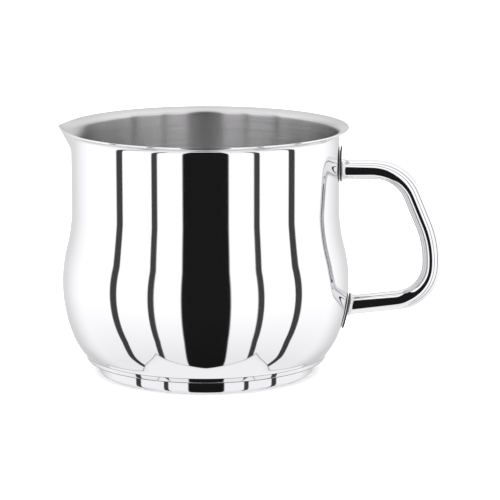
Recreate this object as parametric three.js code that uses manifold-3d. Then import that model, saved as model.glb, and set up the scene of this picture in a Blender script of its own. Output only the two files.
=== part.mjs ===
// A bulbous stainless melting and pouring pot with a welded loop handle.
// Millimetres, +Z up. The origin is the centre of the flat underside, +X runs to the handle
// and -X to the pouring spout.
import * as THREE from "three";
import { mergeVertices } from "three/addons/utils/BufferGeometryUtils.js";
import Module from "manifold-3d";

// Pot wall
const potHeight = 125.6; // underside of the base to the top of the lip
const neckRadius = 68.1; // outside of the straight neck
const wall = 0.8; // thickness of the drawn sheet
const bellyBulge = 5.1; // how far the belly stands out past the neck
const bellyHeight = 45.6; // height of the widest place
const bellyArc = 73; // radius of the belly's side curve
const waistArc = 83; // radius of the hollow curve between belly and neck
const cornerArc = 32.85; // radius of the tighter curve under the belly
const cornerTurn = 20.8; // degrees below level where the tighter curve starts

// Lip
const lipReach = 4.9; // how far the lip stands out past the neck
const flareArc = 2.4; // radius of the bend from neck to lip
const flareTurn = 72; // degrees that the lip turns away from the neck

// Pouring spout
const spoutReach = 7.3; // how far the ridge stands out past the neck at the top
const spoutLength = 13; // how far the ridge runs down from the top of the lip

// Base
const floorHeight = 6.8; // underside of the pot's floor
const creaseHeight = 9.4; // where the belly curve meets the short step
const stepLean = 16; // degrees that the step leans outwards
const stepCorner = 0.9; // radius between step and floor
const capSheet = 0.6; // thickness of the steel cap
const capInset = 6; // how far the top of the cap stands in from the step
const capLean = 1.5; // degrees that the side of the cap leans outwards
const capCorner = 1.2; // radius between the side and the underside of the cap

// Handle
const tubeDiameter = 10;
const tubeWall = 1;
const upperJointDrop = 21.6; // top of the lip down to the upper end of the tube
const jointSpacing = 70.4; // upper end of the tube to the lower end, in height
const upperArm = 17.6; // straight length from the neck to the shoulder bend
const shoulderArc = 21.1;
const shoulderTurn = 67.1; // degrees
const gripArc = 49.3;
const gripTurn = 26.3;
const heelArc = 19;
const heelTurn = 80;

// Mounting plates and welds
const plateSheet = 1; // thickness of a plate
const plateReach = 11.8; // from the axis of the tube to the far end of a plate
const weldWidth = 1.5; // how far a weld runs out over the plate and along the tube
const weldEdge = 0.3; // thickness of a weld at its outer edges
const jointGap = 0.25; // clearance where one piece meets another

// Steps around and along the curved surfaces
const sidesRound = 60;
const tubeSides = 16;
const tubeSteps = 36;
const longestFacet = 7.2;
const fewestFacets = 3;
const neckRows = 5;
const mergeDistance = 1e-4;

const wasm = await Module();
wasm.setup();

const degrees = THREE.MathUtils.degToRad;

const polished = { color: 0xd9dadd, roughness: 0.07, metalness: 1 };
const brushed = { color: 0xc4c5c8, roughness: 0.3, metalness: 1 };
const aluminium = { color: 0xb9bbbf, roughness: 0.5, metalness: 1 };

// One place on an outline: its radius and height, and the direction that points out of the metal.
function station(radius, height, facing) {
  return { radius, height, facing };
}

// Stations along an arc. Angles are in degrees from straight outwards, positive upwards.
// The centre of a hollow arc lies outside the metal, so its outward directions are reversed.
function arc(centre, radius, from, to, hollow = false) {
  const length = radius * degrees(Math.abs(to - from));
  const steps = Math.max(fewestFacets, Math.ceil(length / longestFacet));
  return Array.from({ length: steps + 1 }, (_, i) => {
    const angle = degrees(from + ((to - from) * i) / steps);
    return station(
      centre.x + radius * Math.cos(angle),
      centre.y + radius * Math.sin(angle),
      hollow ? angle + Math.PI : angle,
    );
  });
}

// A station moved along its outward direction, as a point of a lathe profile.
function moved(place, distance) {
  return new THREE.Vector2(
    place.radius + distance * Math.cos(place.facing),
    place.height + distance * Math.sin(place.facing),
  );
}

const bellyCentre = new THREE.Vector2(
  neckRadius + bellyBulge - bellyArc,
  bellyHeight,
);
const waistCentre = new THREE.Vector2(neckRadius + waistArc, 0);
const centresAcross = waistCentre.x - bellyCentre.x;
waistCentre.y =
  bellyHeight + Math.sqrt((bellyArc + waistArc) ** 2 - centresAcross ** 2);
const bellyTop = THREE.MathUtils.radToDeg(
  Math.atan2(waistCentre.y - bellyCentre.y, centresAcross),
);
const cornerCentre = new THREE.Vector2(
  bellyCentre.x + (bellyArc - cornerArc) * Math.cos(degrees(cornerTurn)),
  bellyCentre.y - (bellyArc - cornerArc) * Math.sin(degrees(cornerTurn)),
);
const creaseAngle = THREE.MathUtils.radToDeg(
  Math.asin((creaseHeight - cornerCentre.y) / cornerArc),
);
const creaseRadius =
  cornerCentre.x + cornerArc * Math.cos(degrees(creaseAngle));

// Where the step ends in its corner above the floor.
const stepFoot =
  creaseRadius -
  (creaseHeight - floorHeight) * Math.tan(degrees(stepLean)) -
  stepCorner * Math.tan(degrees(45 - stepLean / 2));

// The lip runs straight on from the end of the flare's bend.
const flareEnd = neckRadius + flareArc * (1 - Math.cos(degrees(flareTurn)));
const lipRun =
  (neckRadius + lipReach - wall / 2 - flareEnd) / Math.sin(degrees(flareTurn));
const flareHeight =
  potHeight -
  flareArc * Math.sin(degrees(flareTurn)) -
  lipRun * Math.cos(degrees(flareTurn)) -
  (wall / 2) * (1 + Math.sin(degrees(flareTurn)));

// The outside of the pot from the centre of its floor up to the edge of its lip.
function potOutside() {
  const flareCentre = new THREE.Vector2(neckRadius + flareArc, flareHeight);
  const flare = arc(flareCentre, flareArc, 180, 180 - flareTurn, true);
  const bend = flare.at(-1);
  const lip = station(
    bend.radius + lipRun * Math.sin(degrees(flareTurn)),
    bend.height + lipRun * Math.cos(degrees(flareTurn)),
    bend.facing,
  );
  const spoutFoot = potHeight - spoutLength;
  const neck = Array.from({ length: neckRows }, (_, i) =>
    station(
      neckRadius,
      spoutFoot + ((flareHeight - spoutFoot) * i) / neckRows,
      0,
    ),
  );
  return [
    station(0, floorHeight, -Math.PI / 2),
    ...arc(
      new THREE.Vector2(stepFoot, floorHeight + stepCorner),
      stepCorner,
      -90,
      -stepLean,
    ),
    ...arc(cornerCentre, cornerArc, creaseAngle, -cornerTurn),
    ...arc(bellyCentre, bellyArc, -cornerTurn, bellyTop).slice(1),
    ...arc(waistCentre, waistArc, 180 + bellyTop, 180, true).slice(1),
    ...neck,
    ...flare,
    lip,
  ];
}

// The radius of the pot's outside at a height, by straight lines between stations.
function outsideRadius(height) {
  const places = potOutside();
  const above = places.findIndex((place) => place.height > height);
  const low = places[above - 1];
  const high = places[above];
  const share = (height - low.height) / (high.height - low.height);
  return low.radius + (high.radius - low.radius) * share;
}

// How far the spout pushes a place outwards. Two flat flanks leave the wall at a tangent
// and meet in a ridge that leans out from the neck to beyond the lip.
function spoutPush(radius, height, angle) {
  const share = 1 - (potHeight - height) / spoutLength;
  const ridge = neckRadius + spoutReach * share;
  if (ridge <= radius) return 0;
  const within = Math.acos(radius / ridge) - Math.abs(angle);
  return within > 0 ? radius / Math.cos(within) - radius : 0;
}

// A lathe profile turned about the vertical axis.
function turned(profile) {
  return new THREE.LatheGeometry(profile, sidesRound).rotateX(Math.PI / 2);
}

// A closed geometry as a solid that can be joined and cut.
function solid(geometry) {
  const bare = geometry.clone();
  bare.deleteAttribute("normal");
  bare.deleteAttribute("uv");
  const merged = mergeVertices(bare, mergeDistance);
  return new wasm.Manifold(
    new wasm.Mesh({
      numProp: 3,
      vertProperties: merged.attributes.position.array,
      triVerts: new Uint32Array(merged.index.array),
    }),
  );
}

// A named mesh from a geometry or from a solid.
function piece(name, shape, finish) {
  let geometry = shape;
  if (!shape.isBufferGeometry) {
    const mesh = shape.getMesh();
    geometry = new THREE.BufferGeometry();
    geometry.setAttribute(
      "position",
      new THREE.BufferAttribute(mesh.vertProperties, 3),
    );
    geometry.setIndex(new THREE.BufferAttribute(mesh.triVerts, 1));
    geometry.computeVertexNormals();
  }
  const made = new THREE.Mesh(geometry, new THREE.MeshStandardMaterial(finish));
  made.name = name;
  return made;
}

// Everything inside the pot's outside grown by a distance, used to cut pieces to the wall.
function potEnvelope(distance) {
  const outside = potOutside().map((place) => moved(place, distance));
  outside[0].x = 0;
  outside.push(new THREE.Vector2(0, outside.at(-1).y));
  return solid(turned(outside));
}

// The drawn sheet: outside, rounded lip edge and inside, with the spout pressed out of it.
function potBody() {
  const outside = potOutside();
  const edge = outside.at(-1);
  const middle = moved(edge, -wall / 2);
  const facing = THREE.MathUtils.radToDeg(edge.facing);
  const round = arc(middle, wall / 2, facing, 90).slice(1);
  const rows = [
    ...outside.map((place) => ({ place, at: moved(place, 0) })),
    ...round.map((place) => ({ place: edge, at: moved(place, 0) })),
    ...outside.toReversed().map((place) => ({ place, at: moved(place, -wall) })),
  ];
  rows[0].at.x = 0;
  rows.at(-1).at.x = 0;
  const geometry = turned(rows.map((row) => row.at));
  const position = geometry.attributes.position;
  for (let i = 0; i < position.count; i++) {
    const { place } = rows[i % rows.length];
    const x = position.getX(i);
    const y = position.getY(i);
    const radius = Math.hypot(x, y);
    const angle = Math.atan2(y, -x);
    const push = spoutPush(place.radius, place.height, angle);
    if (push > 0) position.setX(i, (x * (radius + push)) / radius);
    if (push > 0) position.setY(i, (y * (radius + push)) / radius);
  }
  return piece("pot_body", geometry, brushed);
}

// The outside of the base cap, from its centre up its side.
const capTop = floorHeight - jointGap;
function capOutside() {
  const topRadius = stepFoot + stepCorner - capInset;
  const sideFoot = capCorner * (1 - Math.sin(degrees(capLean)));
  const cornerRadius =
    topRadius -
    (capTop - sideFoot) * Math.tan(degrees(capLean)) -
    capCorner * Math.cos(degrees(capLean));
  return [
    station(0, 0, -Math.PI / 2),
    ...arc(
      new THREE.Vector2(cornerRadius, capCorner),
      capCorner,
      -90,
      -capLean,
    ),
    station(topRadius, capTop, -degrees(capLean)),
  ];
}

function baseCap() {
  const outside = capOutside();
  const inside = outside.toReversed().map((place) => moved(place, -capSheet));
  inside[0].y = capTop;
  inside[0].x = outside.at(-1).radius - capSheet / Math.cos(degrees(capLean));
  return piece(
    "base_cap",
    turned([...outside.map((place) => moved(place, 0)), ...inside]),
    polished,
  );
}

// The aluminium disc fills the cap up to the pot's floor.
function heatDisc() {
  const depth = capSheet + jointGap;
  const side = capOutside().map((place) => moved(place, -depth));
  side.at(-1).y = floorHeight - jointGap;
  side.at(-1).x = capOutside().at(-1).radius - depth / Math.cos(degrees(capLean));
  side.push(new THREE.Vector2(0, floorHeight - jointGap));
  return piece("heat_disc", turned(side), aluminium);
}

// The centre line of the handle in the XZ plane: straight lengths and bends, one after another.
// Headings are in radians below +X.
class HandleLine extends THREE.Curve {
  constructor(start, parts) {
    super();
    this.start = start;
    this.parts = parts;
    this.total = parts.reduce((sum, part) => sum + part.length, 0);
  }
  getPoint(share, target = new THREE.Vector3()) {
    let left = share * this.total;
    let heading = 0;
    const at = this.start.clone();
    for (const part of this.parts) {
      const run = Math.min(left, part.length);
      const turn = part.turn && (part.turn * run) / part.length;
      const chord = turn ? (run * Math.sin(turn / 2)) / (turn / 2) : run;
      at.x += chord * Math.cos(heading + turn / 2);
      at.y -= chord * Math.sin(heading + turn / 2);
      heading += turn;
      left -= run;
    }
    return target.set(at.x, 0, at.y);
  }
}

const upperJoint = potHeight - upperJointDrop;
const lowerJoint = upperJoint - jointSpacing;
const tubeStart = 2; // how far the centre line starts and ends inside the wall

// The outer straight length and the lower arm are as long as it takes to come back to the wall.
function handleLine() {
  const bend = (radius, turn) => ({
    length: radius * degrees(turn),
    turn: degrees(turn),
  });
  const start = new THREE.Vector2(neckRadius - tubeStart, upperJoint);
  const outer = { length: 0, turn: 0 };
  const lowerArm = { length: 0, turn: 0 };
  const parts = [
    { length: upperArm + tubeStart, turn: 0 },
    bend(shoulderArc, shoulderTurn),
    outer,
    bend(gripArc, gripTurn),
    bend(heelArc, heelTurn),
    lowerArm,
  ];
  const bare = new HandleLine(start, parts).getPoint(1);
  const down = degrees(shoulderTurn);
  const back = degrees(shoulderTurn + gripTurn + heelTurn);
  const endX = outsideRadius(lowerJoint) - tubeStart;
  const endZ = lowerJoint - tubeStart * Math.tan(Math.PI - back);
  const missingX = endX - bare.x;
  const missingZ = bare.z - endZ;
  const cross = Math.cos(down) * Math.sin(back) - Math.sin(down) * Math.cos(back);
  outer.length =
    (missingX * Math.sin(back) - missingZ * Math.cos(back)) / cross;
  lowerArm.length =
    (missingZ * Math.cos(down) - missingX * Math.sin(down)) / cross;
  return new HandleLine(start, parts);
}

// A bent tube, open at both ends, cut to the faces of the plates.
function handleTube() {
  const section = new THREE.Shape().absarc(0, 0, tubeDiameter / 2, 0, 2 * Math.PI);
  const bore = new THREE.Path().absarc(
    0,
    0,
    tubeDiameter / 2 - tubeWall,
    0,
    2 * Math.PI,
  );
  section.holes.push(bore);
  const swept = new THREE.ExtrudeGeometry(section, {
    steps: tubeSteps,
    curveSegments: tubeSides / 2,
    extrudePath: handleLine(),
  });
  return piece(
    "handle_tube",
    solid(swept).subtract(potEnvelope(plateSheet + 2 * jointGap)),
    polished,
  );
}

// A plate with round ends, curved to the wall. Its reach points away from the loop of the handle.
function mountingPlate(name, joint, away) {
  const half = tubeDiameter / 2 + weldWidth;
  const far = joint + away * (plateReach - half);
  const outline = new THREE.Shape();
  outline.absarc(0, Math.max(joint, far), half, 0, Math.PI);
  outline.absarc(0, Math.min(joint, far), half, Math.PI, 2 * Math.PI);
  const block = new THREE.ExtrudeGeometry(outline, {
    depth: neckRadius,
    bevelEnabled: false,
    curveSegments: tubeSides / 2,
  });
  // The outline's own X runs along +Y here, its Y up, and its depth along +X.
  block.applyMatrix4(
    new THREE.Matrix4().makeBasis(
      new THREE.Vector3(0, 1, 0),
      new THREE.Vector3(0, 0, 1),
      new THREE.Vector3(1, 0, 0),
    ),
  );
  block.translate(neckRadius / 2, 0, 0);
  const shell = potEnvelope(plateSheet + jointGap).subtract(
    potEnvelope(jointGap),
  );
  return piece(name, solid(block).intersect(shell), polished);
}

// The ring of weld metal round one end of the tube, from the plate to the tube.
function weldRing(name, radius, joint, heading) {
  const inner = tubeDiameter / 2 + jointGap;
  const outer = tubeDiameter / 2 + weldWidth;
  const base = plateSheet + 2 * jointGap;
  const top = base + weldWidth - jointGap;
  const cove = arc(
    new THREE.Vector2(outer, top),
    weldWidth - jointGap - weldEdge,
    270,
    180,
  );
  const profile = [
    new THREE.Vector2(inner, -weldWidth),
    new THREE.Vector2(outer, -weldWidth),
    ...cove.map((place) => moved(place, 0)),
    new THREE.Vector2(inner, top),
    new THREE.Vector2(inner, -weldWidth),
  ];
  const ring = new THREE.LatheGeometry(profile, tubeSides);
  ring.rotateZ(-Math.PI / 2);
  ring.rotateY(heading);
  ring.translate(radius, 0, joint);
  return piece(name, solid(ring).subtract(potEnvelope(base)), polished);
}

const pot = new THREE.Group();
pot.add(potBody(), heatDisc(), baseCap(), handleTube());
pot.add(
  mountingPlate("upper_plate", upperJoint, 1),
  mountingPlate("lower_plate", lowerJoint, -1),
);
const lowerTilt = degrees(shoulderTurn + gripTurn + heelTurn) - Math.PI;
pot.add(
  weldRing("upper_weld", neckRadius, upperJoint, 0),
  weldRing("lower_weld", outsideRadius(lowerJoint), lowerJoint, lowerTilt),
);

export default pot;
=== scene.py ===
"""A bulbous stainless melting and pouring pot with a welded loop handle, built around its CAD frame."""

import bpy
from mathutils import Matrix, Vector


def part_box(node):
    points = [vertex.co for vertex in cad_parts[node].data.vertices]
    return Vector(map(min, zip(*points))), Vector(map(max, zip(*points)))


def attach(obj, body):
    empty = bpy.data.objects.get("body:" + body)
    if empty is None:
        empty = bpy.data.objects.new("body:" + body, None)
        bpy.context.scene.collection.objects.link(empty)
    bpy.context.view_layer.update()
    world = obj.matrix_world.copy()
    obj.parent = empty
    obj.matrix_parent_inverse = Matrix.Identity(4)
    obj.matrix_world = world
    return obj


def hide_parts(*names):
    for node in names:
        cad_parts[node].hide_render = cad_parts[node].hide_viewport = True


bl_info = {
    "name": "Melting pot",
    "version": (1, 0, 0),
    "blender": (4, 5, 0),
    "location": "3D View > Sidebar > Melting pot",
    "description": "Builds a stainless melting pot with a pouring spout and a welded tube handle",
    "category": "Add Mesh",
}

import math

import bmesh
import bpy
from bpy.props import FloatProperty, FloatVectorProperty, IntProperty, PointerProperty
from mathutils import Matrix, Vector
from mathutils.bvhtree import BVHTree

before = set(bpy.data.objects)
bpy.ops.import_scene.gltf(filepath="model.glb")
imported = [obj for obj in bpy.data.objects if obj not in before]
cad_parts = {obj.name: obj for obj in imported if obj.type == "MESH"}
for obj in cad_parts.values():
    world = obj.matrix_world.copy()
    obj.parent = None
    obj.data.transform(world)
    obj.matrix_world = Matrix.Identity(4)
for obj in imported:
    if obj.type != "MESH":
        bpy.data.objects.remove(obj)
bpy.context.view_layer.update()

MM = 0.001
UP = Vector((0, 0, 1))
ACROSS = Vector((0, 1, 0))

pot_low, pot_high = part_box("pot_body")
_, cap_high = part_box("base_cap")
upper_low, upper_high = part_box("upper_plate")
lower_low, lower_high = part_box("lower_plate")
plate_half_width = upper_high.y
upper_joint_height = upper_low.z + plate_half_width
lower_joint_height = lower_high.z - plate_half_width


def linear(code):
    """A colour written as #rrggbb in sRGB, as linear values."""
    shares = [int(code[i : i + 2], 16) / 255 for i in (1, 3, 5)]
    return [s / 12.92 if s <= 0.04045 else ((s + 0.055) / 1.055) ** 2.4 for s in shares]


def length(name, description, default):
    return FloatProperty(name=name, description=description, default=default, unit="LENGTH")


def turn(name, description, degrees):
    return FloatProperty(
        name=name, description=description, default=math.radians(degrees), subtype="ANGLE"
    )


def colour(name, description, code):
    return FloatVectorProperty(
        name=name, description=description, default=linear(code), size=3, subtype="COLOR", min=0, max=1
    )


class PotSizes(bpy.types.PropertyGroup):
    """Sizes of the drawn pot, its lip and its spout."""

    lip_height: length("Lip height", "Top of the lip above the underside", pot_high.z - 0.01 * MM)
    floor_height: length("Floor height", "Underside of the pot's floor", pot_low.z)
    belly_radius: length("Belly radius", "Outside of the widest place", pot_high.y)
    neck_radius: length("Neck radius", "Outside of the straight neck", pot_high.y - 5.1 * MM)
    sheet: length("Sheet", "Thickness of the drawn sheet", 0.8 * MM)
    belly_height: length("Belly height", "Height of the widest place", 45.6 * MM)
    belly_arc: length("Belly arc", "Radius of the belly's side curve", 73 * MM)
    waist_arc: length("Waist arc", "Radius of the hollow curve between belly and neck", 83 * MM)
    corner_arc: length("Corner arc", "Radius of the tighter curve under the belly", 32.85 * MM)
    corner_turn: turn("Corner start", "Where the tighter curve starts, below level", 20.8)
    crease_height: length("Crease height", "Where the curve meets the short step", 9.4 * MM)
    crease_arc: length("Crease arc", "Radius that softens the crease", 0.5 * MM)
    step_lean: turn("Step lean", "How far the step leans outwards", 16)
    step_corner: length("Step corner", "Radius between step and floor", 0.9 * MM)
    lip_reach: length("Lip reach", "How far the lip stands out past the neck", 4.9 * MM)
    flare_arc: length("Flare arc", "Radius of the bend from neck to lip", 2.4 * MM)
    flare_turn: turn("Flare turn", "How far the lip turns away from the neck", 72)
    spout_reach: length("Spout reach", "How far the ridge stands out at the top", 7.22 * MM)
    spout_length: length("Spout length", "How far the ridge runs down from the lip", 13 * MM)
    spout_round: turn("Spout rounding", "How softly the two flanks meet in the ridge", 2.2)
    sides: IntProperty(name="Sides", description="Faces around the pot", default=320, min=24)


class BaseSizes(bpy.types.PropertyGroup):
    """Sizes of the pressed cap and the disc in it."""

    cap_height: length("Cap height", "Top edge of the cap", cap_high.z)
    cap_radius: length("Cap radius", "Outside of the cap's top edge", cap_high.x)
    cap_sheet: length("Cap sheet", "Thickness of the cap", 0.6 * MM)
    cap_lean: turn("Cap lean", "How far the side leans outwards", 1.5)
    cap_corner: length("Cap corner", "Radius between side and underside", 1.2 * MM)
    gap: length("Gap", "Clearance where one piece meets another", 0.25 * MM)


class HandleSizes(bpy.types.PropertyGroup):
    """Sizes of the bent tube, its plates and its welds."""

    upper_joint: length("Upper joint", "Height of the tube's upper end", upper_joint_height)
    lower_joint: length("Lower joint", "Height of the tube's lower end", lower_joint_height)
    tube_radius: length("Tube radius", "Outside radius of the tube", 5 * MM)
    tube_wall: length("Tube wall", "Thickness of the tube's wall", 1 * MM)
    upper_arm: length("Upper arm", "From the neck to the shoulder bend", 17.59 * MM)
    shoulder_arc: length("Shoulder arc", "Radius of the shoulder bend", 21.1 * MM)
    shoulder_turn: turn("Shoulder turn", "How far the tube turns at the shoulder", 67.1)
    grip_arc: length("Grip arc", "Radius of the long bend that is held", 49.3 * MM)
    grip_turn: turn("Grip turn", "How far the tube turns along the grip", 26.3)
    heel_arc: length("Heel arc", "Radius of the lower bend", 19 * MM)
    heel_turn: turn("Heel turn", "How far the tube turns at the heel", 80)
    plate_half: length("Plate half width", "Half the width of a plate", plate_half_width)
    plate_sheet: length("Plate sheet", "Thickness of a plate", 1 * MM)
    plate_edge: length("Plate edge", "Radius of a plate's rounded edges", 0.3 * MM)
    weld_width: length("Weld width", "How far a weld runs out over its plate", 1.1 * MM)
    weld_height: length("Weld height", "How far a weld runs along the tube", 1.6 * MM)
    weld_edge: length("Weld edge", "Thickness of a weld at its outer edges", 0.1 * MM)
    weld_gap: length("Weld gap", "Clearance between a weld and the tube", 0.06 * MM)
    sides: IntProperty(name="Sides", description="Faces around the tube", default=64, min=12)


class FinishColours(bpy.types.PropertyGroup):
    """Colours of the metals."""

    polished: colour("Polished steel", "Mirror-polished stainless", "#dfdfe1")
    brushed: colour("Brushed steel", "Satin inside of the pot", "#dad9da")
    weld: colour("Weld metal", "Dressed stainless weld", "#dcdcdc")
    cap: colour("Cap steel", "Polished steel of the base cap", "#d6d5d8")
    # This dark steel is painted shade: a dark colour for the pot's crease, floor and step corner and the
    # plates' sheared edges.
    painted_shade: colour("Dull steel", "Unpolished corners and sheared edges", "#4a4a4c")
    aluminium: colour("Aluminium", "Heat-spreading disc", "#c3c5c8")


class StudioSettings(bpy.types.PropertyGroup):
    """The floor, the light tent and the camera."""

    tent_radius: length("Tent radius", "Inside radius of the light tent", 0.4)
    panel_height: length("Panel height", "Top of the tent's side panels", 0.222)
    dim_start: turn("Dim start", "Where the panels begin to dim, round from the front", 105)
    dim_end: turn("Dim end", "Where the panels are dimmest, round from the front", 150)
    back_light: FloatProperty(
        name="Back light", description="Share of light from the panels at the back", default=0.6
    )
    low_light: FloatProperty(
        name="Low light", description="Share of light from low down", default=0.8
    )
    board_side: turn("Board side", "How far below level the middle of a board's side is seen", 68)
    board_corner: turn("Board corner", "How far below level a board's corner is seen", 45)
    tent_turn: turn("Tent turn", "How far the tent is turned past the camera", 1)
    brightness: FloatProperty(name="Brightness", description="Light of the tent", default=1.36)
    facing: turn("Facing", "How far the camera stands round from the front", 3)
    pitch: turn("Pitch", "How far the camera looks down", 11.27)
    distance: length("Distance", "From the pot's axis to the camera", 1.314)
    aim_side: length("Aim, sideways", "Side of the pot's axis at which the camera aims", 22.56 * MM)
    aim_height: length("Aim, height", "Height at which the camera aims", 61.55 * MM)
    lens: FloatProperty(name="Lens", description="Focal length, in mm", default=185.28)
    floor: colour("Floor", "Pale matt floor", "#f4f4f4")


# Mesh helpers


def arc(centre, radius, start, end, fewest=6, spacing=1.2 * MM):
    """Points along an arc; its angles are in radians from straight outwards, positive upwards."""
    steps = max(fewest, round(radius * abs(end - start) / spacing))
    angles = [start + (end - start) * i / steps for i in range(steps + 1)]
    return [centre + radius * Vector((math.cos(a), math.sin(a))) for a in angles]


def new_outline(points, closed=False):
    """A bmesh that holds an outline in the XZ plane, from (radius, height) points."""
    bm = bmesh.new()
    places = [bm.verts.new((p.x, 0, p.y)) for p in points]
    ends = places[1:] + places[:1] if closed else places[1:]
    for a, b in zip(places, ends):
        bm.edges.new((a, b))
    return bm


def face_outwards(bm):
    """Turns every face outwards; an open shell can come out of the recalculation inside out."""
    bmesh.ops.recalc_face_normals(bm, faces=bm.faces)
    if bm.calc_volume(signed=True) < 0:
        bmesh.ops.reverse_faces(bm, faces=bm.faces)


def spin_round(bm, sides):
    """Spins everything in a bmesh once about the vertical axis, and closes its poles."""
    bmesh.ops.spin(
        bm,
        geom=bm.verts[:] + bm.edges[:],
        cent=(0, 0, 0),
        axis=UP,
        dvec=(0, 0, 0),
        angle=2 * math.pi,
        steps=sides,
        use_merge=True,
        use_duplicate=False,
    )
    bmesh.ops.remove_doubles(bm, verts=bm.verts, dist=0.001 * MM)
    face_outwards(bm)


def round_edges(bm, edges, radius, segments):
    bmesh.ops.bevel(
        bm,
        geom=edges,
        offset=radius,
        offset_type="OFFSET",
        segments=segments,
        profile=0.5,
        affect="EDGES",
        clamp_overlap=True,
        material=-1,
    )


def sharp_edges(bm, least):
    """Edges between faces that meet at more than an angle in radians."""
    return [e for e in bm.edges if len(e.link_faces) == 2 and e.calc_face_angle() > least]


def add_piece(bm, name, slot, materials, *nodes):
    """Makes an object of a bmesh, which rides on the CAD body and stands for CAD nodes."""
    mesh = bpy.data.meshes.new(name)
    bm.to_mesh(mesh)
    bm.free()
    mesh.polygons.foreach_set("use_smooth", [True] * len(mesh.polygons))
    mesh.set_sharp_from_angle(angle=math.radians(40))
    for material in materials:
        mesh.materials.append(material)
    piece = bpy.data.objects.new(name, mesh)
    bpy.context.scene.collection.objects.link(piece)
    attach(piece, "root")
    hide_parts(*nodes)
    return piece


# Shape of the pot


def belly_centre(pot):
    return Vector((pot.belly_radius - pot.belly_arc, pot.belly_height))


def waist_centre(pot):
    belly = belly_centre(pot)
    across = pot.neck_radius + pot.waist_arc - belly.x
    rise = math.sqrt((pot.belly_arc + pot.waist_arc) ** 2 - across**2)
    return belly + Vector((across, rise))


def wall_place(pot, height, distance):
    """The (radius, height) that lies a distance outside the neck or the belly's side curve."""
    if height >= waist_centre(pot).y:
        return Vector((pot.neck_radius + distance, height))
    belly = belly_centre(pot)
    lean = math.asin((height - belly.y) / pot.belly_arc)
    return belly + (pot.belly_arc + distance) * Vector((math.cos(lean), math.sin(lean)))


def flare_start(pot):
    """Height where the neck ends and the flare begins, and the straight run of the lip."""
    reach = pot.lip_reach - pot.sheet / 2 - pot.flare_arc * (1 - math.cos(pot.flare_turn))
    run = reach / math.sin(pot.flare_turn)
    rise = pot.flare_arc * math.sin(pot.flare_turn) + run * math.cos(pot.flare_turn)
    half_edge = pot.sheet / 2 * (1 + math.sin(pot.flare_turn))
    return pot.lip_height - rise - half_edge, run


def pot_outline(pot):
    """The pot's outside, from the centre of its floor to the edge of its lip."""
    belly, waist = belly_centre(pot), waist_centre(pot)
    belly_top = math.atan2(waist.y - belly.y, waist.x - belly.x)
    toward = Vector((math.cos(pot.corner_turn), -math.sin(pot.corner_turn)))
    corner = belly + (pot.belly_arc - pot.corner_arc) * toward
    crease = math.asin((pot.crease_height - corner.y) / pot.corner_arc)
    crease_radius = corner.x + pot.corner_arc * math.cos(crease)
    step_foot = (
        crease_radius
        - (pot.crease_height - pot.floor_height) * math.tan(pot.step_lean)
        - pot.step_corner * math.tan(math.pi / 4 - pot.step_lean / 2)
    )
    # The crease is softened by a hollow arc that touches the step and the curve above it.
    half_bend = (-pot.step_lean - crease) / 2
    middle = (-pot.step_lean + crease) / 2
    away = pot.crease_arc / math.cos(half_bend)
    hollow = Vector((crease_radius, pot.crease_height)) + away * Vector(
        (math.cos(middle), math.sin(middle))
    )
    crease_fillet = arc(
        hollow, pot.crease_arc, math.pi - pot.step_lean, math.pi + crease, fewest=4
    )
    fillet_end = crease_fillet[-1]
    corner_start = math.atan2(fillet_end.y - corner.y, fillet_end.x - corner.x)

    start, run = flare_start(pot)
    flare_middle = Vector((pot.neck_radius + pot.flare_arc, start))
    flare = arc(flare_middle, pot.flare_arc, math.pi, math.pi - pot.flare_turn, fewest=10)
    along = Vector((math.sin(pot.flare_turn), math.cos(pot.flare_turn)))
    lip = [flare[-1] + along * (run + pot.sheet / 2) * share for share in (1 / 3, 2 / 3, 1)]
    neck_rows = round((start - waist.y) / MM)
    neck = [
        Vector((pot.neck_radius, waist.y + (start - waist.y) * i / neck_rows))
        for i in range(1, neck_rows)
    ]
    floor_rows = 6
    floor = [Vector((step_foot * i / floor_rows, pot.floor_height)) for i in range(floor_rows)]
    foot = Vector((step_foot, pot.floor_height + pot.step_corner))
    return [
        *floor,
        *arc(foot, pot.step_corner, -math.pi / 2, -pot.step_lean),
        *crease_fillet,
        *arc(corner, pot.corner_arc, corner_start, -pot.corner_turn)[1:],
        *arc(belly, pot.belly_arc, -pot.corner_turn, belly_top)[1:],
        *arc(waist, pot.waist_arc, math.pi + belly_top, math.pi)[1:],
        *neck,
        *flare,
        *lip,
    ]


def press_spout(bm, pot):
    """Pushes two flat flanks out of the wall, which leave it at a tangent and meet in a soft ridge."""
    for vert in bm.verts:
        radius = vert.co.xy.length
        share = 1 - (pot.lip_height - vert.co.z) / pot.spout_length
        ridge = pot.neck_radius + pot.spout_reach * share
        if share <= 0 or ridge <= radius:
            continue
        reach = math.acos(radius / ridge)
        angle = math.atan2(vert.co.y, -vert.co.x)
        within = reach - math.hypot(angle, pot.spout_round) + pot.spout_round
        if within > 0:
            vert.co.xy *= 1 / math.cos(within)


# Finishes


def add_node(tree, kind, inputs=None, **settings):
    """Adds a node. An input is a value or another node's output, by the socket's name or number."""
    node = tree.nodes.new(kind)
    for name, value in settings.items():
        setattr(node, name, value)
    for socket, value in (inputs or {}).items():
        if isinstance(value, bpy.types.NodeSocket):
            tree.links.new(value, node.inputs[socket])
        else:
            node.inputs[socket].default_value = value
    return node


def set_stops(ramp, stops):
    """Gives a colour ramp its stops, from (place, grey) pairs."""
    ramp.elements[0].position, ramp.elements[1].position = 0, 1
    for place, _ in stops[1:-1]:
        ramp.elements.new(place)
    for element, (place, grey) in zip(ramp.elements, stops):
        element.position = place
        element.color = (grey, grey, grey, 1)


def new_material(name):
    """A material with an empty metal shader, its tree and that shader."""
    material = bpy.data.materials.new(name)
    material.use_nodes = True
    tree = material.node_tree
    tree.nodes.clear()
    shader = add_node(tree, "ShaderNodeBsdfPrincipled", {"Metallic": 1.0})
    add_node(tree, "ShaderNodeOutputMaterial", {"Surface": shader.outputs[0]})
    return material, tree, shader


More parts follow.
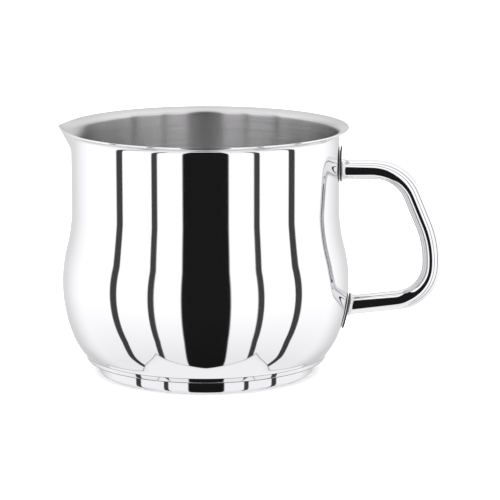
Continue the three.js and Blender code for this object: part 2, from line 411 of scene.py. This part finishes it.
def polished_steel(name, base, roughness=0.035, wave=24 * MM, wave_depth=0.004 * MM):
    """Drawn or pressed stainless, buffed to a mirror: crisp reflections that drift a little,
    because the sheet keeps a faint waviness, with hairlines that blur them unevenly."""
    material, tree, shader = new_material(name)
    place = add_node(tree, "ShaderNodeTexCoord").outputs["Object"]
    wavy = add_node(
        tree, "ShaderNodeTexNoise", {"Vector": place, "Scale": 1 / wave, "Detail": 1.0}
    )
    bump = add_node(
        tree,
        "ShaderNodeBump",
        {"Height": wavy.outputs["Fac"], "Distance": wave_depth, "Strength": 1.0},
    )
    hairline = 0.6 * MM
    buffed = add_node(
        tree, "ShaderNodeTexNoise", {"Vector": place, "Scale": 1 / hairline, "Detail": 3.0}
    )
    blur = add_node(
        tree,
        "ShaderNodeMapRange",
        {"Value": buffed.outputs["Fac"], "To Min": roughness * 0.6, "To Max": roughness * 1.4},
    )
    shader.inputs["Base Color"].default_value = (*base, 1)
    tree.links.new(blur.outputs[0], shader.inputs["Roughness"])
    tree.links.new(bump.outputs[0], shader.inputs["Normal"])
    return material


def brushed_steel(name, base, roughness=0.25):
    """Stainless brushed round and round inside the pot: reflections stay sharp sideways and
    smear up and down, over fine lines that run round the wall."""
    material, tree, shader = new_material(name)
    place = add_node(tree, "ShaderNodeTexCoord").outputs["Object"]
    parts = add_node(tree, "ShaderNodeSeparateXYZ", {0: place})
    flat = add_node(tree, "ShaderNodeVectorMath", {0: place, 1: (1, 1, 0)}, operation="MULTIPLY")
    radius = add_node(tree, "ShaderNodeVectorMath", {0: flat.outputs[0]}, operation="LENGTH")
    # Each line follows one value of height plus radius, so it runs round wall and floor alike.
    across = add_node(
        tree, "ShaderNodeMath", {0: parts.outputs["Z"], 1: radius.outputs["Value"]}, operation="ADD"
    )
    # Real grit lines are about 0.05 mm apart; they are drawn coarser, so that they show.
    line, line_length = 0.45 * MM, 60 * MM
    stretched = add_node(
        tree, "ShaderNodeCombineXYZ",
        {"X": parts.outputs["X"], "Y": parts.outputs["Y"], "Z": across.outputs[0]},
    )
    scaled = add_node(
        tree, "ShaderNodeVectorMath",
        {0: stretched.outputs[0], 1: (1 / line_length, 1 / line_length, 1 / line)},
        operation="MULTIPLY",
    )
    lines = add_node(
        tree, "ShaderNodeTexNoise", {"Vector": scaled.outputs[0], "Scale": 1.0, "Detail": 4.0}
    )
    tint = add_node(
        tree, "ShaderNodeMapRange",
        {"Value": lines.outputs["Fac"], "From Min": 0.25, "From Max": 0.75, "To Min": 0.82},
    )
    shade = add_node(
        tree, "ShaderNodeMix", {"Factor": 1.0, "A": (*base, 1), "B": tint.outputs[0]},
        data_type="RGBA", blend_type="MULTIPLY",
    )
    shade.inputs[6].default_value = (*base, 1)
    tree.links.new(tint.outputs[0], shade.inputs[7])
    bump = add_node(
        tree, "ShaderNodeBump",
        {"Height": lines.outputs["Fac"], "Distance": 0.018 * MM, "Strength": 1.0},
    )
    round_the_axis = add_node(tree, "ShaderNodeTangent", direction_type="RADIAL", axis="Z")
    shader.inputs["Roughness"].default_value = roughness
    shader.inputs["Anisotropic"].default_value = 1.0
    shader.inputs["Anisotropic Rotation"].default_value = 0.25
    tree.links.new(shade.outputs[2], shader.inputs["Base Color"])
    tree.links.new(bump.outputs[0], shader.inputs["Normal"])
    tree.links.new(round_the_axis.outputs[0], shader.inputs["Tangent"])
    return material


def turned_steel(name, base, groove=0.5 * MM):
    """Stainless skimmed flat on a lathe: fine rings round the middle that catch the light in a cross."""
    material, tree, shader = new_material(name)
    place = add_node(tree, "ShaderNodeTexCoord").outputs["Object"]
    rings = add_node(
        tree, "ShaderNodeTexWave",
        {"Vector": place, "Scale": math.pi / 10 / groove, "Distortion": 0.4, "Detail": 2.0},
        wave_type="RINGS", rings_direction="Z",
    )
    bump = add_node(
        tree, "ShaderNodeBump",
        {"Height": rings.outputs["Fac"], "Distance": 0.01 * MM, "Strength": 1.0},
    )
    round_the_axis = add_node(tree, "ShaderNodeTangent", direction_type="RADIAL", axis="Z")
    shader.inputs["Base Color"].default_value = (*base, 1)
    shader.inputs["Roughness"].default_value = 0.28
    shader.inputs["Anisotropic"].default_value = 0.8
    shader.inputs["Anisotropic Rotation"].default_value = 0.25
    tree.links.new(bump.outputs[0], shader.inputs["Normal"])
    tree.links.new(round_the_axis.outputs[0], shader.inputs["Tangent"])
    return material


def weld_metal(name, base):
    """Stainless weld, dressed and polished: a soft uneven shine where the ripples were rubbed down."""
    return polished_steel(name, base, roughness=0.2, wave=1.6 * MM, wave_depth=0.03 * MM)


def painted_shade_steel(name, base):
    """Dark matt steel that is painted shade: laid in the pot's crease, on its floor and the lower part of
    its step corner, and on the plates' sheared edges, where it stands in for the shade there and outlines
    the polished pieces."""
    return polished_steel(name, base, roughness=0.45, wave=1 * MM, wave_depth=0.01 * MM)


def mill_aluminium(name, base):
    """Rolled aluminium with its mill finish: pale, matt and faintly streaked."""
    return polished_steel(name, base, roughness=0.5, wave=3 * MM, wave_depth=0.01 * MM)


# Operators


class MELTING_POT_OT_body(bpy.types.Operator):
    """Builds the drawn pot with its floor, wall, flared lip and spout"""

    bl_idname = "melting_pot.body"
    bl_label = "Pot body"

    def execute(self, context):
        pot = context.scene.melting_pot_body
        colours = context.scene.melting_pot_colours
        bm = new_outline(pot_outline(pot))
        spin_round(bm, pot.sides)
        press_spout(bm, pot)
        # Painted shade: faces on the pot's floor, on the lower part of its step corner and in the crease
        # get the dark matt steel, which stands in for the shade that falls there.
        foot = pot.floor_height + 0.6 * pot.step_corner
        for face in bm.faces:
            height = face.calc_center_median().z
            if height < foot or abs(height - pot.crease_height) < 0.5 * pot.crease_arc:
                face.material_index = 2
        made = bmesh.ops.solidify(bm, geom=bm.faces[:], thickness=pot.sheet)
        inside = [f for f in made["geom"] if isinstance(f, bmesh.types.BMFace)]
        for face in inside:
            face.material_index = 1
        lip_zone = pot.lip_height - 4 * MM
        rim = [e for e in sharp_edges(bm, math.radians(60)) if e.verts[0].co.z > lip_zone]
        round_edges(bm, rim, pot.sheet * 0.49, 5)
        add_piece(
            bm,
            "pot_body_visual",
            "pot_steel",
            [
                polished_steel("mirror_polished_steel", colours.polished),
                brushed_steel("brushed_steel", colours.brushed),
                # The third material is painted shade: dark matt steel for the crease, floor and step
                # corner.
                painted_shade_steel("crease_painted_shade", colours.painted_shade),
            ],
            "pot_body",
        )
        return {"FINISHED"}


def cap_outline(base, inset):
    """The outside of the cap from its centre to its top edge, moved into the metal by an inset."""
    lean, corner = base.cap_lean, base.cap_corner
    side_foot = corner * (1 - math.sin(lean))
    middle_radius = (
        base.cap_radius
        - (base.cap_height - side_foot) * math.tan(lean)
        - corner * math.cos(lean)
    )
    rows = 6
    flat = [Vector((middle_radius * i / rows, inset)) for i in range(rows)]
    bend = arc(Vector((middle_radius, corner)), corner - inset, -math.pi / 2, -lean)
    top = Vector((base.cap_radius - inset / math.cos(lean), base.cap_height))
    side = [bend[-1].lerp(top, i / rows) for i in range(1, rows + 1)]
    return [*flat, *bend, *side]


class MELTING_POT_OT_base(bpy.types.Operator):
    """Builds the pressed steel cap under the pot and the aluminium disc that it encloses"""

    bl_idname = "melting_pot.base"
    bl_label = "Base cap and heat disc"

    def execute(self, context):
        base = context.scene.melting_pot_base
        colours = context.scene.melting_pot_colours
        sides = context.scene.melting_pot_body.sides
        bm = new_outline(cap_outline(base, 0) + cap_outline(base, base.cap_sheet)[::-1])
        spin_round(bm, sides)
        round_edges(bm, sharp_edges(bm, math.radians(40)), 0.15 * MM, 3)
        for face in bm.faces:
            face.material_index = int(face.normal.z < -0.999)
        add_piece(
            bm,
            "base_cap_visual",
            "base_steel",
            [
                polished_steel("pressed_polished_steel", colours.cap),
                turned_steel("turned_steel", colours.polished),
            ],
            "base_cap",
        )
        disc = cap_outline(base, base.cap_sheet + base.gap)
        bm = new_outline([*disc, Vector((0, base.cap_height))])
        spin_round(bm, sides)
        round_edges(bm, sharp_edges(bm, math.radians(40)), 0.3 * MM, 3)
        add_piece(
            bm,
            "heat_disc_visual",
            "disc_aluminium",
            [mill_aluminium("mill_finish_aluminium", colours.aluminium)],
            "heat_disc",
        )
        return {"FINISHED"}


class TubeLine:
    """The handle's centre line, walked from the neck to the belly: headings are below +X."""

    def __init__(self, pot, handle):
        inside_wall = 2 * MM
        self.start = Vector((pot.neck_radius - inside_wall, 0, handle.upper_joint))
        bends = [
            (handle.shoulder_arc, handle.shoulder_turn),
            (handle.grip_arc, handle.grip_turn),
            (handle.heel_arc, handle.heel_turn),
        ]
        down = handle.shoulder_turn
        back = sum(turned for _, turned in bends)
        at = self.start + Vector((handle.upper_arm + inside_wall, 0, 0))
        heading = 0
        for radius, turned in bends:
            chord = 2 * radius * math.sin(turned / 2)
            at += chord * self.direction(heading + turned / 2)
            heading += turned
        # Two straight lengths are left over: they bring the line back to the wall.
        lower = wall_place(pot, handle.lower_joint, 0)
        end_x = lower.x - inside_wall
        end_z = lower.y - inside_wall * math.tan(math.pi - back)
        missing_x, missing_z = end_x - at.x, at.z - end_z
        cross = math.cos(down) * math.sin(back) - math.sin(down) * math.cos(back)
        outer = (missing_x * math.sin(back) - missing_z * math.cos(back)) / cross
        lower_arm = (missing_z * math.cos(down) - missing_x * math.sin(down)) / cross
        self.parts = [
            (handle.upper_arm + inside_wall, 0),
            bends[0],
            (outer, 0),
            bends[1],
            bends[2],
            (lower_arm, 0),
        ]
        self.end_heading = back

    @staticmethod
    def direction(heading):
        return Vector((math.cos(heading), 0, -math.sin(heading)))


def swept_tube(line, radius, sides):
    """A tube's outside, swept along straight lengths and bends."""
    bm = bmesh.new()
    upright = Matrix.Rotation(math.pi / 2, 4, "Y")
    bmesh.ops.create_circle(
        bm, cap_ends=False, radius=radius, segments=sides, matrix=Matrix.Translation(line.start) @ upright
    )
    ring = bm.edges[:]
    at, heading = line.start.copy(), 0
    for size, turned in line.parts:
        if turned:
            centre = at + size * TubeLine.direction(heading + math.pi / 2)
            steps = max(12, round(size * turned / (1.5 * MM)))
            made = bmesh.ops.spin(
                bm, geom=ring, cent=centre, axis=ACROSS, dvec=(0, 0, 0), angle=turned,
                steps=steps, use_merge=False, use_duplicate=False,
            )
            ring = [g for g in made["geom_last"] if isinstance(g, bmesh.types.BMEdge)]
            at += 2 * size * math.sin(turned / 2) * TubeLine.direction(heading + turned / 2)
            heading += turned
            continue
        steps = max(2, round(size / (2 * MM)))
        step = size / steps * TubeLine.direction(heading)
        for _ in range(steps):
            made = bmesh.ops.extrude_edge_only(bm, edges=ring)
            far = [g for g in made["geom"] if isinstance(g, bmesh.types.BMVert)]
            bmesh.ops.translate(bm, verts=far, vec=step)
            ring = [g for g in made["geom"] if isinstance(g, bmesh.types.BMEdge)]
            ring = [e for e in ring if all(v in far for v in e.verts)]
        at += size * TubeLine.direction(heading)
    face_outwards(bm)
    return bm


def joint_frames(pot, handle):
    """For the upper and the lower joint: the place on the wall, the wall's outward direction
    and the direction in which the tube leaves."""
    line = TubeLine(pot, handle)
    lower = wall_place(pot, handle.lower_joint, 0)
    lean = math.asin((handle.lower_joint - pot.belly_height) / pot.belly_arc)
    return [
        (Vector((pot.neck_radius, 0, handle.upper_joint)), Vector((1, 0, 0)), Vector((1, 0, 0))),
        (
            Vector((lower.x, 0, lower.y)),
            Vector((math.cos(lean), 0, math.sin(lean))),
            -TubeLine.direction(line.end_heading),
        ),
    ]


class MELTING_POT_OT_handle(bpy.types.Operator):
    """Builds the bent tube, open at both ends and cut to the faces of the plates"""

    bl_idname = "melting_pot.handle"
    bl_label = "Handle tube"

    def execute(self, context):
        scene = context.scene
        pot, handle = scene.melting_pot_body, scene.melting_pot_handle
        bm = swept_tube(TubeLine(pot, handle), handle.tube_radius, handle.sides)
        stand_off = handle.plate_sheet + 2 * scene.melting_pot_base.gap
        for place, outward, _ in joint_frames(pot, handle):
            near = [v for v in bm.verts if (v.co - place).length < 2.4 * handle.tube_radius]
            near_faces = {f for v in near for f in v.link_faces}
            near_edges = {e for f in near_faces for e in f.edges}
            near_verts = {v for f in near_faces for v in f.verts}
            bmesh.ops.bisect_plane(
                bm,
                geom=[*near_verts, *near_edges, *near_faces],
                dist=0.0001 * MM,
                plane_co=place + outward * stand_off,
                plane_no=outward,
                clear_inner=True,
            )
        bmesh.ops.solidify(bm, geom=bm.faces[:], thickness=handle.tube_wall)
        add_piece(
            bm,
            "handle_tube_visual",
            "handle_steel",
            [polished_steel("polished_tube_steel", scene.melting_pot_colours.polished, 0.03)],
            "handle_tube",
        )
        return {"FINISHED"}


def mounting_plate(pot, handle, gap, joint, reach):
    """A round-ended plate wrapped onto the wall, from a joint towards a far end."""
    bm = bmesh.new()
    rings, sides = 6, 48
    half = handle.plate_half
    upright = Matrix.Rotation(math.pi / 2, 4, "X")
    made = bmesh.ops.create_circle(
        bm, cap_ends=False, radius=half, segments=sides, matrix=upright
    )
    ring = bm.edges[:]
    for i in range(rings):
        made = bmesh.ops.extrude_edge_only(bm, edges=ring)
        inner = [g for g in made["geom"] if isinstance(g, bmesh.types.BMVert)]
        share = (rings - 1 - i) / (rings - i)
        bmesh.ops.scale(bm, verts=inner, vec=(share, share, share))
        ring = [g for g in made["geom"] if isinstance(g, bmesh.types.BMEdge)]
        ring = [e for e in ring if all(v in inner for v in e.verts)]
    # The half towards the far end moves out, which leaves straight sides between the round ends.
    moving = [v for v in bm.verts if v.co.z * reach > -1e-9]
    stretch = abs(reach) - half
    bmesh.ops.translate(bm, verts=moving, vec=(0, 0, math.copysign(stretch, reach)))
    bmesh.ops.remove_doubles(bm, verts=bm.verts, dist=0.001 * MM)
    rows = 5
    for i in range(1, rows):
        bmesh.ops.bisect_plane(
            bm,
            geom=bm.verts[:] + bm.edges[:] + bm.faces[:],
            dist=0.0001 * MM,
            plane_co=(0, 0, math.copysign(stretch * i / rows, reach)),
            plane_no=UP,
        )
    for vert in bm.verts:
        place = wall_place(pot, joint + vert.co.z, gap)
        angle = vert.co.x / place.x
        vert.co = (place.x * math.cos(angle), place.x * math.sin(angle), place.y)
    face_outwards(bm)
    bmesh.ops.solidify(bm, geom=bm.faces[:], thickness=-handle.plate_sheet)
    face_outwards(bm)
    round_edges(bm, sharp_edges(bm, math.radians(50)), handle.plate_edge, 4)
    # Faces that don't face outwards, the plates' sheared edges, get the second material: painted shade.
    for face in bm.faces:
        outward = face.calc_center_median() * Vector((1, 1, 0))
        face.material_index = int(abs(face.normal.dot(outward.normalized())) < 0.75)
    return bm


def weld_ring(handle, gap, plate, place, leaves):
    """A hollow-faced ring of weld metal round the tube, resting on the face of its plate."""
    inner = handle.tube_radius + handle.weld_gap
    outer = handle.tube_radius + handle.weld_width
    width = handle.weld_width - handle.weld_gap - handle.weld_edge
    height = handle.weld_height - handle.weld_edge
    cove = [
        Vector((outer + width * bend.x, handle.weld_height + height * bend.y))
        for bend in arc(Vector((0, 0)), 1, 1.5 * math.pi, math.pi, fewest=8, spacing=1)
    ]
    foot, top = Vector((inner, 0)), Vector((inner, handle.weld_height))
    bm = new_outline([foot, Vector((outer, 0)), *cove, top], closed=True)
    spin_round(bm, handle.sides)
    sideways = ACROSS.cross(leaves)
    wall = BVHTree.FromBMesh(plate)
    far = 20 * MM
    for vert in bm.verts:
        across = sideways * vert.co.x + ACROSS * vert.co.y
        ripple = 0.04 * MM * math.sin(9 * math.atan2(vert.co.y, vert.co.x)) * vert.co.z / top.y
        hit = wall.ray_cast(place + across + leaves * far, -leaves)[0]
        if hit is None:
            raise RuntimeError("a weld reaches past the edge of its plate")
        vert.co = hit + leaves * (gap + vert.co.z + ripple)
    face_outwards(bm)
    return bm


class MELTING_POT_OT_joints(bpy.types.Operator):
    """Builds the two mounting plates and the welds that join the tube to them"""

    bl_idname = "melting_pot.joints"
    bl_label = "Plates and welds"

    def execute(self, context):
        scene = context.scene
        pot, handle = scene.melting_pot_body, scene.melting_pot_handle
        gap = scene.melting_pot_base.gap
        colours = scene.melting_pot_colours
        plate_steel = polished_steel("stamped_polished_steel", colours.polished, 0.06)
        # Painted shade: the plates' sheared edges get the dark matt steel, which stands in for the shade
        # along them.
        edge_painted_shade = painted_shade_steel("sheared_edge_painted_shade", colours.painted_shade)
        weld_steel = weld_metal("dressed_weld_steel", colours.weld)
        reaches = [upper_high.z - handle.upper_joint, lower_low.z - handle.lower_joint]
        joints = [handle.upper_joint, handle.lower_joint]
        for name, joint, reach, place in zip(
            ("upper", "lower"), joints, reaches, joint_frames(pot, handle)
        ):
            plate = mounting_plate(pot, handle, gap, joint, reach)
            weld = weld_ring(handle, gap, plate, place[0], place[2])
            add_piece(weld, name + "_weld_visual", "weld_steel", [weld_steel], name + "_weld")
            add_piece(
                plate, name + "_plate_visual", "plate_steel", [plate_steel, edge_painted_shade], name + "_plate"
            )
        return {"FINISHED"}


# The dark gaps between the tent's panels, alike on both sides: where each starts and ends, in degrees
# round from the front, and the share of light that comes through.
GAPS = ((0, 17.5, 0.01), (38, 42.5, 0.05), (68.5, 74.5, 0.05))
GAP_SOFTNESS = 0.3


def gap_stops():
    """Full light with a drop at each gap, as (degrees, share of light) stops."""
    stops = []
    for start, end, share in GAPS:
        if start:
            stops.append((start - GAP_SOFTNESS, 1))
        stops += [(start, share), (end, share), (end + GAP_SOFTNESS, 1)]
    return stops


def tent_light(studio):
    """Translucent panels lit from behind: even and pale, with dark gaps between them and a bright
    underlay around the foot of the pot."""
    material = bpy.data.materials.new("lit_panels")
    material.use_nodes = True
    material.cycles.emission_sampling = "NONE"
    tree = material.node_tree
    tree.nodes.clear()
    place = add_node(tree, "ShaderNodeTexCoord").outputs["Object"]
    turned = add_node(
        tree, "ShaderNodeMapping",
        {"Vector": place, "Rotation": (0, 0, -studio.facing - studio.tent_turn)},
        vector_type="POINT",
    )
    parts = add_node(tree, "ShaderNodeSeparateXYZ", {0: turned.outputs[0]})
    front = add_node(tree, "ShaderNodeMath", {0: parts.outputs["Y"], 1: -1.0}, operation="MULTIPLY")
    angle = add_node(
        tree, "ShaderNodeMath", {0: parts.outputs["X"], 1: front.outputs[0]}, operation="ARCTAN2"
    )
    aside = add_node(tree, "ShaderNodeMath", {0: angle.outputs[0]}, operation="ABSOLUTE")
    # The panels dim towards the back.
    panels = add_node(
        tree, "ShaderNodeMapRange",
        {
            "Value": aside.outputs[0],
            "From Min": studio.dim_start,
            "From Max": studio.dim_end,
            "To Min": 1,
            "To Max": studio.back_light,
        },
        interpolation_type="SMOOTHSTEP",
    )
    share_aside = add_node(
        tree, "ShaderNodeMath", {0: aside.outputs[0], 1: math.pi}, operation="DIVIDE"
    )
    gaps = add_node(tree, "ShaderNodeValToRGB", {"Fac": share_aside.outputs[0]})
    set_stops(gaps.color_ramp, [(at / 180, share) for at, share in gap_stops()])

    # Elevation as a place near the foot of the belly sees it.
    foot_height, foot_radius = 20 * MM, 55 * MM
    flat = add_node(
        tree, "ShaderNodeVectorMath", {0: place, 1: (1, 1, 0)}, operation="MULTIPLY"
    )
    radius = add_node(tree, "ShaderNodeVectorMath", {0: flat.outputs[0]}, operation="LENGTH")
    away = add_node(
        tree, "ShaderNodeMath", {0: radius.outputs["Value"], 1: foot_radius}, operation="SUBTRACT"
    )
    above = add_node(
        tree, "ShaderNodeMath", {0: parts.outputs["Z"], 1: foot_height}, operation="SUBTRACT"
    )
    rise = add_node(
        tree, "ShaderNodeMath", {0: above.outputs[0], 1: away.outputs[0]}, operation="ARCTAN2"
    )
    degrees = add_node(tree, "ShaderNodeMath", {0: rise.outputs[0]}, operation="DEGREES")
    # Less light comes from low down.
    dimmest, brightest = -50, -10
    fall = add_node(
        tree, "ShaderNodeMapRange",
        {
            "Value": degrees.outputs[0],
            "From Min": dimmest,
            "From Max": brightest,
            "To Min": studio.low_light,
        },
    )

    # Low down the tent shows a square white board under the pot, with its edge highest at the corners.
    side_to_corner, hollowness = math.radians(45), 1.5
    corner = add_node(
        tree, "ShaderNodeMath", {0: aside.outputs[0], 1: side_to_corner}, operation="PINGPONG"
    )
    share_corner = add_node(
        tree, "ShaderNodeMath", {0: corner.outputs[0], 1: side_to_corner}, operation="DIVIDE"
    )
    hollow = add_node(
        tree, "ShaderNodeMath", {0: share_corner.outputs[0], 1: hollowness}, operation="POWER"
    )
    edge_degrees = add_node(
        tree, "ShaderNodeMapRange",
        {
            "Value": hollow.outputs[0],
            "To Min": -math.degrees(studio.board_side),
            "To Max": -math.degrees(studio.board_corner),
        },
    )
    below = add_node(
        tree, "ShaderNodeMath", {0: edge_degrees.outputs[0], 1: degrees.outputs[0]},
        operation="SUBTRACT",
    )
    # From outside the edge to inside it: the panels, a thin grey line, then the underlay.
    underlay = add_node(
        tree, "ShaderNodeMapRange", {"Value": below.outputs[0], "From Min": -2, "From Max": 6}
    )
    shades = add_node(tree, "ShaderNodeValToRGB", {"Fac": underlay.outputs[0]})
    set_stops(shades.color_ramp, [(0, 0.2), (0.25, 0.2), (0.36, 0.8), (1, 0.86)])
    outside = add_node(
        tree, "ShaderNodeMapRange", {"Value": below.outputs[0], "From Min": -0.5, "From Max": 0}
    )

    sides = add_node(
        tree, "ShaderNodeMix", {"Factor": 1.0}, data_type="RGBA", blend_type="MULTIPLY"
    )
    tree.links.new(panels.outputs[0], sides.inputs[6])
    tree.links.new(gaps.outputs[0], sides.inputs[7])
    fallen = add_node(
        tree, "ShaderNodeMix", {"Factor": 1.0}, data_type="RGBA", blend_type="MULTIPLY"
    )
    tree.links.new(sides.outputs[2], fallen.inputs[6])
    tree.links.new(fall.outputs[0], fallen.inputs[7])
    low = add_node(tree, "ShaderNodeMix", {"Factor": outside.outputs[0]}, data_type="RGBA")
    tree.links.new(fallen.outputs[2], low.inputs[6])
    tree.links.new(shades.outputs[0], low.inputs[7])
    # Above the panels lies a bright roof, greyer towards the back, with the gaps running on in it.
    roof_shade = add_node(
        tree, "ShaderNodeMapRange",
        {"Value": parts.outputs["Y"], "From Min": 0, "From Max": 0.3, "To Min": 1, "To Max": 0.62},
    )
    roof = add_node(tree, "ShaderNodeMix", {"Factor": 1.0}, data_type="RGBA", blend_type="MULTIPLY")
    tree.links.new(roof_shade.outputs[0], roof.inputs[6])
    tree.links.new(gaps.outputs[0], roof.inputs[7])
    over = add_node(
        tree, "ShaderNodeMapRange",
        {
            "Value": parts.outputs["Z"],
            "From Min": studio.panel_height - 4 * MM,
            "From Max": studio.panel_height,
        },
    )
    whole = add_node(tree, "ShaderNodeMix", {"Factor": over.outputs[0]}, data_type="RGBA")
    tree.links.new(low.outputs[2], whole.inputs[6])
    tree.links.new(roof.outputs[2], whole.inputs[7])
    glow = add_node(
        tree, "ShaderNodeEmission", {"Color": whole.outputs[2], "Strength": studio.brightness}
    )
    add_node(tree, "ShaderNodeOutputMaterial", {"Surface": glow.outputs[0]})
    return material


def add_stage_object(bm, name, material):
    mesh = bpy.data.meshes.new(name)
    bm.to_mesh(mesh)
    bm.free()
    mesh.materials.append(material)
    made = bpy.data.objects.new(name, mesh)
    bpy.context.scene.collection.objects.link(made)
    return made


class MELTING_POT_OT_stage(bpy.types.Operator):
    """Builds the pale floor, the light tent that the steel mirrors, the soft light and the camera"""

    bl_idname = "melting_pot.stage"
    bl_label = "Floor, light and camera"

    def execute(self, context):
        scene = context.scene
        studio = scene.melting_pot_studio
        self.add_tent(studio)
        self.add_floor(studio)
        self.add_sky(scene)
        self.add_camera(scene, studio)
        scene.view_settings.view_transform = "Standard"
        scene.view_settings.look = "None"
        return {"FINISHED"}

    def add_tent(self, studio):
        """The tent is seen only in the steel, as a real one is kept out of the picture. Its lower
        half is its own mirror image in the glossy floor."""
        radius, top = studio.tent_radius, studio.panel_height
        bm = new_outline(
            [
                Vector((0, -top)),
                Vector((radius, -top)),
                Vector((radius, top)),
                Vector((0, top)),
            ]
        )
        spin_round(bm, 96)
        tent = add_stage_object(bm, "light_tent", tent_light(studio))
        tent.visible_camera = False
        tent.visible_diffuse = False
        tent.visible_shadow = False
        tent.visible_transmission = False

    def add_floor(self, studio):
        bm = bmesh.new()
        bmesh.ops.create_grid(bm, x_segments=8, y_segments=8, size=3)
        bmesh.ops.translate(bm, verts=bm.verts, vec=(0, 0, -0.02 * MM))
        material, tree, shader = new_material("pale_matt_floor")
        shader.inputs["Metallic"].default_value = 0
        shader.inputs["Roughness"].default_value = 0.9
        shader.inputs["Specular IOR Level"].default_value = 0.1
        shader.inputs["Base Color"].default_value = (*studio.floor, 1)
        # The floor is clear from below, so that the underside can be looked at.
        clear = add_node(tree, "ShaderNodeBsdfTransparent")
        under = add_node(tree, "ShaderNodeNewGeometry")
        seen = add_node(
            tree, "ShaderNodeMixShader",
            {0: under.outputs["Backfacing"], 1: shader.outputs[0], 2: clear.outputs[0]},
        )
        output = next(n for n in tree.nodes if n.type == "OUTPUT_MATERIAL")
        tree.links.new(seen.outputs[0], output.inputs["Surface"])
        floor = add_stage_object(bm, "floor", material)
        floor.visible_glossy = False

    def add_sky(self, scene):
        world = bpy.data.worlds.new("soft_white_light")
        world.use_nodes = True
        world.node_tree.nodes.clear()
        tree = world.node_tree
        kind = add_node(tree, "ShaderNodeLightPath")
        strength = add_node(
            tree, "ShaderNodeMapRange",
            {"Value": kind.outputs["Is Camera Ray"], "To Min": 3.4, "To Max": 1.0},
        )
        sky = add_node(
            tree, "ShaderNodeBackground", {"Color": (1, 1, 1, 1), "Strength": strength.outputs[0]}
        )
        add_node(tree, "ShaderNodeOutputWorld", {"Surface": sky.outputs[0]})
        scene.world = world

    def add_camera(self, scene, studio):
        data = bpy.data.cameras.new("camera")
        data.lens = studio.lens
        data.sensor_width = 36
        data.clip_start, data.clip_end = 0.05, 20
        camera = bpy.data.objects.new("camera", data)
        scene.collection.objects.link(camera)
        side = Vector((math.cos(studio.facing), math.sin(studio.facing), 0))
        level = Vector((math.sin(studio.facing), -math.cos(studio.facing), 0))
        back = level * math.cos(studio.pitch) + UP * math.sin(studio.pitch)
        aim = side * studio.aim_side + UP * studio.aim_height
        camera.location = aim + back * studio.distance
        camera.rotation_euler = Matrix((side, back.cross(side), back)).transposed().to_euler()
        scene.camera = camera


class MELTING_POT_PT_panel(bpy.types.Panel):
    """Lists the pot's sizes, colours and parts"""

    bl_idname = "MELTING_POT_PT_panel"
    bl_label = "Melting pot"
    bl_space_type = "VIEW_3D"
    bl_region_type = "UI"
    bl_category = "Melting pot"

    def draw(self, context):
        for operator in OPERATORS:
            self.layout.operator(operator.bl_idname)
        for name, group in GROUPS.items():
            settings = getattr(context.scene, name)
            box = self.layout.box()
            box.label(text=group.__doc__)
            for setting in group.__annotations__:
                box.prop(settings, setting)


GROUPS = {
    "melting_pot_body": PotSizes,
    "melting_pot_base": BaseSizes,
    "melting_pot_handle": HandleSizes,
    "melting_pot_colours": FinishColours,
    "melting_pot_studio": StudioSettings,
}
OPERATORS = (
    MELTING_POT_OT_stage,
    MELTING_POT_OT_body,
    MELTING_POT_OT_base,
    MELTING_POT_OT_handle,
    MELTING_POT_OT_joints,
)


def register():
    for cls in (*GROUPS.values(), *OPERATORS, MELTING_POT_PT_panel):
        bpy.utils.register_class(cls)
    for name, group in GROUPS.items():
        setattr(bpy.types.Scene, name, PointerProperty(type=group))


def unregister():
    for name in GROUPS:
        delattr(bpy.types.Scene, name)
    for cls in (MELTING_POT_PT_panel, *reversed(OPERATORS), *reversed(GROUPS.values())):
        bpy.utils.unregister_class(cls)


def main():
    register()
    bpy.ops.melting_pot.stage()
    bpy.ops.melting_pot.body()
    bpy.ops.melting_pot.base()
    bpy.ops.melting_pot.handle()
    bpy.ops.melting_pot.joints()


if __name__ == "__main__":
    main()
